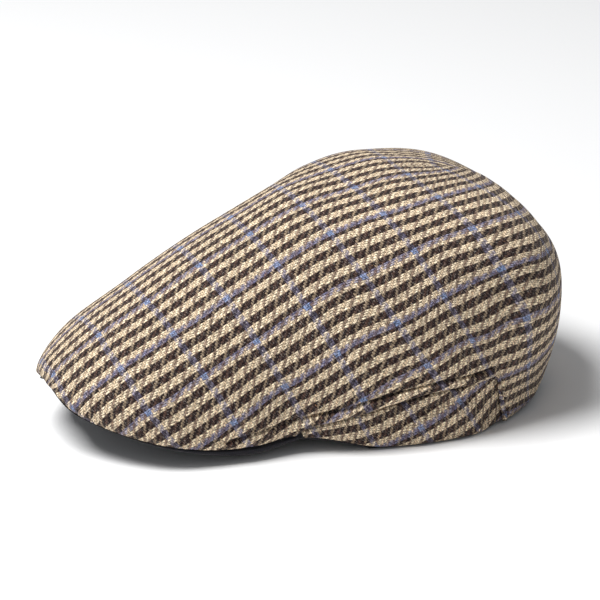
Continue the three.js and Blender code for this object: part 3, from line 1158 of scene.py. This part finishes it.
    def _edge_lift(self, grid: TopGrid) -> Array:
        """Lift where the cloth turns in round the edge of the peak.

        Args:
            grid: the cloth's grid.

        Returns:
            The lift at each corner.
        """
        at = grid.stations
        edge = CLOTH.girth_at(at, SKIN.across_above(at, top_edge(at)))
        gap = edge - CLOTH.girth_at(at, grid.across)
        front = front_share(at)
        depth = self.turn_under[0] + self.turn_under[1] * front
        width = self.turn_width[0] + self.turn_width[1] * front
        return -depth * np.exp(-((gap / width) ** 2)) * (1 - smooth_step(at, *self.turn_end))

    def _wall(self, grid: TopGrid) -> Array:
        """Share of the full wall thickness at each corner: thinner at the folded edges.

        Args:
            grid: the cloth's grid.

        Returns:
            The shares.
        """
        gap = np.minimum(grid.to_fold, grid.to_seam)
        back = grid.stations > BACK_START
        return thinned(np.where(back, np.minimum(gap, grid.to_hem), gap))

    def _stitches(self) -> Mesh:
        """Sews the rows above the folds and down the back seams, on both sides.

        Returns:
            One mesh of all the stitches.
        """
        stations, above = fine(STITCH_ROW).T
        row = (stations, SKIN.across_above(stations, above))
        seam = back_seam_line(self.seam_gap)
        mesh = bmesh.new()
        for track, depth in ((row, self.row_depth), (seam, self.seam_row_depth)):
            for side in Side:
                flip = (side.value, 1, 1)
                line, outward = SKIN.inset(*track, depth), SKIN.normals(*track)
                self.stitch.sew_row(mesh, line * flip, outward * flip)
        for face in mesh.faces:
            face.smooth = True
        return mesh


def fine(rows: tuple[tuple[float, ...], ...]) -> Array:
    """A table's rows and seven more evenly between each pair.

    Args:
        rows: the table.

    Returns:
        The longer table.
    """
    ends = np.arange(len(rows))
    at = np.linspace(0, len(rows) - 1, 8 * (len(rows) - 1) + 1)
    return np.stack([np.interp(at, ends, column) for column in np.array(rows, float).T], -1)


def whole_rows(left: Array, right: Array) -> Array:
    """Rows over the whole cap from its left half, and its right half before mirroring."""
    crown = (left[:, :1] + right[:, :1]) / 2 * (0, 1, 1)
    return np.concatenate([right[:, :0:-1] * FLIP, crown, crown, left[:, 1:]], axis=1)


@dataclass
class SidePanel:
    """Wedge-shaped side panel, lapped under the top cloth, with a turned-up hem."""

    wool: bpy.types.Material
    side: Side
    name: str
    replaced: str
    thickness: float = SIDE_THICKNESS
    lap_margin: float = 7
    lap_extra: float = 0.6
    tuck: Ridge = Ridge(2.0, 1.0)  # deeper where it passes under the folded edge
    tuck_fade: float = 8  # how late that dies away towards the hem
    rise: float = 1.0  # how far it swells back out below the fold
    rise_reach: tuple[float, float] = (0.4, 1.8)  # distances from the fold where it swells
    row_step: float = 1.8
    lap_rows: tuple[float, ...] = (0.35, 0.7, 1)  # behind the back seam, as shares of the lap
    under_columns: tuple[float, ...] = (1, 0.7, 0.4, 0.2)
    fold_columns: tuple[float, ...] = (0, 0.01, 0.02, 0.032, 0.046, 0.062, 0.085, 0.12)
    middle_columns: tuple[float, float, int] = (0.16, 0.85, 16)  # first, last and how many
    hem_columns: tuple[float, ...] = (0.89, 0.92, 0.945, 0.965, 0.98, 0.99, 1)
    hem_reach: tuple[float, float] = (PANEL_TIP - 0.2, 8)  # stations that its hem lies between
    weave_turn: float = 22.6  # degrees between the hem and the lengthwise threads
    hem_start: float = 3.9  # station that lengths along the hem are measured from
    line_start: float = 40.3
    cut: tuple[float, float] = (-14.01, 131)  # where that line crosses another on the flat cloth
    ease: float = 0.3  # slope of the cross threads, pulled off square in the steaming
    wave: tuple[float, float] = (0.6, 40)  # share of the undulation, and its shift along
    creases: tuple[Crease, ...] = (
        Crease(((5.4, 0.93), (5.73, 0.9), (6.0, 0.893), (6.68, 0.905)), Ridge(-1.5, 2.2)),
        Crease(((5.5, 0.965), (5.9, 0.945), (6.6, 0.95)), Ridge(0.9, 4.5)),
    )

    def build(self) -> Piece:
        """Makes the panel.

        Returns:
            The piece.
        """
        at, across, f, under = self._grid()
        base = SKIN.points(at, across)
        to_hem = distance_to_line(base, hem_line(*self.hem_reach))
        places = SKIN.inset(at, across, self._depth(base, at, f, under, to_hem))
        cloth, wall = self._cloth(at, across), thinned(to_hem)
        if self.side is Side.RIGHT:
            places, cloth, wall = places[:, ::-1] * FLIP, cloth[:, ::-1], wall[:, ::-1]
        mesh = shaped_grid(places, cloth, wall)
        return make_piece(
            self.name, mesh, self.wool, self.replaced, self.thickness)

    def _grid(self) -> tuple[Array, Array, Array, Array]:
        """Lays out the panel's grid.

        Returns:
            Stations, places across, how far down from the fold, 0, to the hem, 1, and how far
            up under the top cloth, to 1 at the lapped margin's edge.
        """
        rows = SKIN.span(PANEL_TIP, BACK_SEAM, self.row_step)
        rows = np.concatenate([rows, BACK_SEAM + LAP_STATIONS * np.array(self.lap_rows)])
        down = (*self.fold_columns, *np.linspace(*self.middle_columns), *self.hem_columns)
        margin = len(self.under_columns)
        shape = (len(rows), margin + len(down))
        f = np.broadcast_to([0.0] * margin + list(down), shape)
        under = np.broadcast_to(list(self.under_columns) + [0.0] * len(down), shape)
        at, across = lower_place(np.broadcast_to(rows[:, None], shape), f)
        lapped = SKIN.across_above(at, top_edge(at) + self.lap_margin * under)
        return at, np.where(under > 0, lapped, across), f, under

    def _depth(self, base: Array, at: Array, f: Array, under: Array, to_hem: Array) -> Array:
        """How far the cloth's face lies under the skin.

        Args:
            base: places on the skin.
            at: their stations.
            f: how far down from the fold to the hem.
            under: how far up under the top cloth.
            to_hem: distances from the hem.

        Returns:
            The depth at each place.
        """
        to_fold = distance_to_line(base, fold_line())
        rise = self.rise * smooth_step(to_fold, *self.rise_reach) * (under == 0)
        depth = TOP_THICKNESS + LAP_GAP + self.lap_extra * under
        depth = depth - clear_share(at[:, :1]) * (rise + (HEM_EASE - self.rise) * f)
        depth += self.tuck.at(to_fold) * np.minimum(1, self.tuck_fade * (1 - f))
        share, shift = self.wave
        wave = share * undulation(base * (self.side.value, 1, 1) + shift)
        lift = HEM_ROLL.at(to_hem) + sum(crease.lift(base) for crease in self.creases)
        lift = lift + wave * smooth_step(to_hem, 0, EVEN_HEM)
        return depth - np.where(under > 0, 0, lift)

    def _cloth(self, at: Array, across: Array) -> Array:
        """Places on the flat cloth, cut so that its lengthwise threads rise to the back.

        Args:
            at: stations.
            across: places over the cap, of the same shape.

        Returns:
            Widthways and lengthways places in millimetres, in the last axis.
        """
        hem = running_length(SKIN.points(CLOTH.stations, np.ones_like(CLOTH.stations)))
        start = np.interp(self.hem_start, CLOTH.stations, hem) + self.line_start
        along = np.interp(at, CLOTH.stations, hem) - start
        height = CLOTH.girth_at(at, np.ones_like(at)) - CLOTH.girth_at(at, across)
        turn = math.radians(self.weave_turn)
        widthways = along * math.sin(turn) - height * math.cos(turn)
        lengthways = along * math.cos(turn) + height * math.sin(turn) + self.ease * widthways
        return np.stack([widthways, lengthways], -1) + self.cut


@dataclass
class Peak:
    """Stiff peak: a board covered in dark twill, whose lip shows under the top cloth's edge."""

    twill: bpy.types.Material
    half_width: float = 64
    start_y: float = -44
    depth: float = 53
    side_z: float = 8
    rise: float = 28
    arch_power: float = 1.4
    board: float = 2.2
    tuck: float = 0.8
    lip: float = 3.0
    step: float = 0.55
    lip_thickness: tuple[tuple[float, float], ...] = (
        (0, 0), (1.5, 0.1), (2.1, 0.5), (2.8, 1.6), (3.4, 1.6), (3.85, 0.8))
    lap_share: float = 0.4
    turn_under: tuple[float, float] = (1.2, 0.9)  # in round the edge, and more in front
    tip: float = 0.5  # stations either side of the middle where the front is rounded evenly
    end_turn: float = 82
    row_step: float = 1.7
    least_lip: float = 0.1  # least height of the lip above the skin's lower edge
    rim_points: int = 9
    over_rings: int = 7
    under_rings: tuple[float, ...] = (  # shares of the way from the rim to the inner edge
        0.03, 0.06, 0.1, 0.16, 0.24, 0.34, 0.46, 0.6, 0.75, 0.9, 0.97, 1)

    def forehead(self, turn: Array) -> Array:
        """Points on the board's inner edge; turn is 0 at the left, 90 in the middle.

        Args:
            turn: degrees round the edge.

        Returns:
            The points, one for each turn.
        """
        angle = np.radians(turn)
        x = self.half_width * np.cos(angle)
        y = self.start_y - self.depth * np.sin(angle) + FRAME_SHIFT_Y
        fall = np.abs(np.cos(angle)) ** self.arch_power
        return np.stack([x, y, self.side_z + self.rise * (1 - fall)], -1)

    def _profiles(self) -> Array:
        """Closed profiles through the board, from its left end round the front to its right.

        Returns:
            Profiles of points.
        """
        half = SKIN.span(0, BOARD_END, self.row_step)
        stations = np.concatenate([half[:0:-1], half])
        side = np.concatenate([np.ones(len(half) - 1), -np.ones(len(half))])
        above = top_edge(stations)
        lip = side * SKIN.across_above(stations, np.maximum(above - self.step, self.least_lip))
        tucked = side * SKIN.across_above(stations, above + self.tuck)
        skin_edge = SKIN.points(stations, side)
        thickness = np.interp(stations, *np.array(self.lip_thickness).T)
        foot = SKIN.inset(stations, side, self.lip)
        foot[:, 2] = np.minimum(foot[:, 2], skin_edge[:, 2]) - thickness
        drop = np.outer(thickness * self.lap_share, (0, 0, 1))
        turned = self.turn_under[0] + self.turn_under[1] * front_share(stations)
        edge = SKIN.inset(stations, side, turned) - drop
        lip_top = SKIN.inset(stations, lip, turned) - drop
        lip_inset = SKIN.inset(stations, lip, TOP_THICKNESS + self.step) - drop
        lip_tucked = SKIN.inset(stations, tucked, TOP_THICKNESS + 2 * self.step)
        inner_top = self.forehead(90 - side * self.end_turn * stations / BOARD_END)
        inner_foot = inner_top - (0, 0, self.board)
        for line in (lip_top, lip_inset, lip_tucked, foot, edge):
            self._round_tip(line, skin_edge, stations)
        t = np.linspace(0, 1, self.rim_points)[:, None, None]
        control = 2 * edge - (lip_top + foot) / 2
        rim = (1 - t) ** 2 * lip_top + 2 * t * (1 - t) * control + t**2 * foot
        under = between(foot, inner_foot, np.array(self.under_rings))
        over = between(inner_top, lip_tucked, np.linspace(0, 1, self.over_rings))
        rings = np.concatenate([rim, under, over, lip_inset[None], lip_top[None]])
        return rings.transpose(1, 0, 2)

    def _round_tip(self, line: Array, skin_edge: Array, stations: Array) -> None:
        """Carries a line's offset from the skin's edge evenly round the front, in place.

        Args:
            line: a line of points round the peak.
            skin_edge: the skin's edge beside them.
            stations: their stations.
        """
        offset = line - skin_edge
        half = len(stations) // 2
        away = np.concatenate([-stations[:half], stations[half:]])
        front = np.abs(away) < self.tip
        for axis in range(3):
            carried = np.interp(away[front], away[~front], offset[~front, axis])
            line[front, axis] = skin_edge[front, axis] + carried

    def build(self) -> Piece:
        """Makes the board with its covering.

        Returns:
            The piece.
        """
        rings = self._profiles()[:, ::-1]
        mesh = shaped_grid(rings, rings[..., :2])
        bmesh.ops.holes_fill(mesh, edges=mesh.edges, sides=0)
        bmesh.ops.recalc_face_normals(mesh, faces=mesh.faces)
        return make_piece("peak_board", mesh, self.twill, "peak")


def between(start: Array, end: Array, shares: Array) -> Array:
    """Lines of points between two lines, at some shares of the way."""
    t = shares[:, None, None]
    return start * (1 - t) + end * t


@dataclass
class Sweatband:
    """Sweatband: an oval ring of twill inside the hem, risen across the forehead."""

    twill: bpy.types.Material
    peak: Peak
    thickness: float = 1.2
    height: float = 30
    drop: float = 1.3
    rest: float = 2.4
    clearance: float = 1
    lean: float = 2
    temple: float = 4.2  # station where it leaves the board's inner edge
    strip_step: float = 2.5
    settled: float = 8.3  # station where it has come out to the top cloth, behind the panels
    front_turns: tuple[float, float, float] = (172, 7, -4)  # round the board's inner edge
    front_scale: float = 1 - 1.5 / 60  # keeps it inside that edge
    bead: Ridge = Ridge(0.35, 0.5)  # how far its edges roll inwards
    rings: tuple[float, ...] = (
        0, 0.02, 0.05, 0.1, 0.2, 0.35, 0.5, 0.65, 0.8, 0.9, 0.95, 0.98, 1)

    def _strips(self) -> tuple[Array, Array]:
        """Foot and head of the band all round, from the left temple by way of the back.

        Returns:
            The points of the foot, and those of the head above them.
        """
        half = SKIN.span(self.temple, LAST_STATION, self.strip_step)
        behind = smooth_step(half, BACK_SEAM + LAP_STATIONS, self.settled)
        lapped = TOP_THICKNESS + LAP_GAP
        panel = lapped - HEM_EASE * clear_share(half) + SIDE_THICKNESS
        inset = panel * (1 - behind) + TOP_THICKNESS * behind + self.clearance
        foot = SKIN.inset(half, np.ones_like(half), inset)
        hem = SKIN.points(half, np.ones_like(half))[:, 2]
        foot[:, 2] = np.where(hem > self.rest, hem - self.drop, 0)
        across = SKIN.across_above(half, np.full_like(half, self.height))
        wall = SKIN.inset(half, across, lapped + SIDE_THICKNESS + self.clearance)
        head = wall * (1 - behind[:, None]) + self._leaning(foot) * behind[:, None]
        front = self.peak.forehead(np.arange(*self.front_turns))
        centre = (0, self.peak.start_y + FRAME_SHIFT_Y)
        front[:, :2] = (front[:, :2] - centre) * self.front_scale + centre
        front[:, 2] -= self.peak.board
        feet = np.concatenate([foot, foot[-2::-1] * FLIP, front, foot[:1]])
        heads = np.concatenate([head, head[-2::-1] * FLIP, self._leaning(front), head[:1]])
        return feet, heads

    def _leaning(self, foot: Array) -> Array:
        """Heads of upright strips, leaning inwards above their feet."""
        return foot + towards_axis(foot) * self.lean + (0, 0, self.height)

    def build(self) -> Piece:
        """Makes the band.

        Returns:
            The piece.
        """
        feet, heads = self._strips()
        t = np.array(self.rings)
        places = between(heads, feet, t).transpose(1, 0, 2)
        rim = np.broadcast_to(np.minimum(t, 1 - t) * self.height, places.shape[:2])
        places = places + towards_axis(places) * self.bead.at(rim)[..., None]
        cloth = np.stack(np.meshgrid(running_length(feet), t * self.height, indexing="ij"), -1)
        mesh = shaped_grid(places, cloth, thinned(rim, 1))
        return make_piece(
            "sweatband_ring", mesh, self.twill, "sweatband", self.thickness)


# Stage


@dataclass(frozen=True)
class Camera:
    """A long lens that looks at the cap from its left, a little ahead and above."""

    azimuth: float = 67.089
    elevation: float = 21.315
    distance: float = 1500
    frame_steps: int = 600  # across the square frame
    scale: float = 0.50900493  # millimetres at the target for each of those steps
    target: tuple[float, float, float] = (0, 1.75, 55)
    shift: tuple[float, float] = (2.248, 3.962)  # steps that the camera moves left and down
    sensor: float = 36

    def build(self) -> None:
        """Makes the camera and gives it to the scene."""
        a, e = math.radians(self.azimuth), math.radians(self.elevation)
        right = Vector((math.cos(a), math.sin(a), 0))
        back = Vector((math.sin(a) * math.cos(e), -math.cos(a) * math.cos(e), math.sin(e)))
        up = back.cross(right)
        place = Vector(self.target) + back * self.distance
        place -= (right * self.shift[0] + up * self.shift[1]) * self.scale
        data = bpy.data.cameras.new("camera")
        data.sensor_width = self.sensor
        data.lens = self.sensor * self.distance / (self.frame_steps * self.scale)
        data.clip_start, data.clip_end = 0.05, 50
        camera = bpy.data.objects.new("camera", data)
        turn = Matrix((right, up, back)).transposed().to_4x4()
        camera.matrix_world = Matrix.Translation(place * MM) @ turn
        bpy.context.scene.collection.objects.link(camera)
        bpy.context.scene.camera = camera


@dataclass(frozen=True)
class Softbox:
    """A square soft light that points at the cap, with its places and sizes in metres."""

    name: str
    place: tuple[float, float, float]
    size: float
    power: float
    target: tuple[float, float, float] = (0, 0, 0.05)

    def build(self) -> None:
        """Makes the light."""
        data = bpy.data.lights.new(self.name, "AREA")
        data.shape, data.size, data.energy = "SQUARE", self.size, self.power
        light = bpy.data.objects.new(self.name, data)
        place = Vector(self.place)
        aim = (place - Vector(self.target)).to_track_quat("Z", "Y")
        light.matrix_world = Matrix.Translation(place) @ aim.to_matrix().to_4x4()
        bpy.context.scene.collection.objects.link(light)


@dataclass(frozen=True)
class Stage:
    """Plain pale floor, pale surroundings and soft lights, in metres."""

    floor_half: float = 6.0
    sky: str = "f6f8fb"
    surroundings: float = 0.3
    lights: tuple[Softbox, ...] = (
        Softbox("key_light", (-0.1, -0.9, 1.95), 0.9, 54),
        Softbox("fill_light", (1.7, -0.9, 0.6), 1.4, 0.5),
    )

    def build(self) -> None:
        """Makes the floor, the lights and the surroundings."""
        mesh = bmesh.new()
        bmesh.ops.create_grid(mesh, x_segments=1, y_segments=1, size=self.floor_half)
        data = bpy.data.meshes.new("floor")
        mesh.to_mesh(data)
        mesh.free()
        data.materials.append(PaleFloor().build())
        floor = bpy.data.objects.new("floor", data)
        bpy.context.scene.collection.objects.link(floor)
        for light in self.lights:
            light.build()
        world = bpy.data.worlds.new("pale_surroundings")
        world.use_nodes = True
        world.node_tree.nodes.clear()
        glow = add_node(world.node_tree, "Background", {
            "Color": srgb(self.sky), "Strength": self.surroundings})
        add_node(world.node_tree, "OutputWorld", {"Surface": glow})
        bpy.context.scene.world = world


def main() -> None:
    """Builds the cap and its stage, and reports each piece."""
    logging.basicConfig(level=logging.INFO, format="%(name)s: %(message)s")
    bpy.context.scene.view_settings.view_transform = "Standard"
    wool, twill, thread = CheckedWool().build(), DarkTwill().build(), SewingThread().build()
    Camera().build()
    Stage().build()
    made = TopCloth(wool, thread).build()
    made.append(SidePanel(wool, Side.LEFT, "side_cloth_left", "side_panel_left").build())
    made.append(SidePanel(wool, Side.RIGHT, "side_cloth_right", "side_panel_right").build())
    peak = Peak(twill)
    made.append(peak.build())
    made.append(Sweatband(twill, peak).build())
    for piece in made:
        LOG.info("%s: %d faces", piece.name, len(piece.data.polygons))


if __name__ == "__main__":
    main()
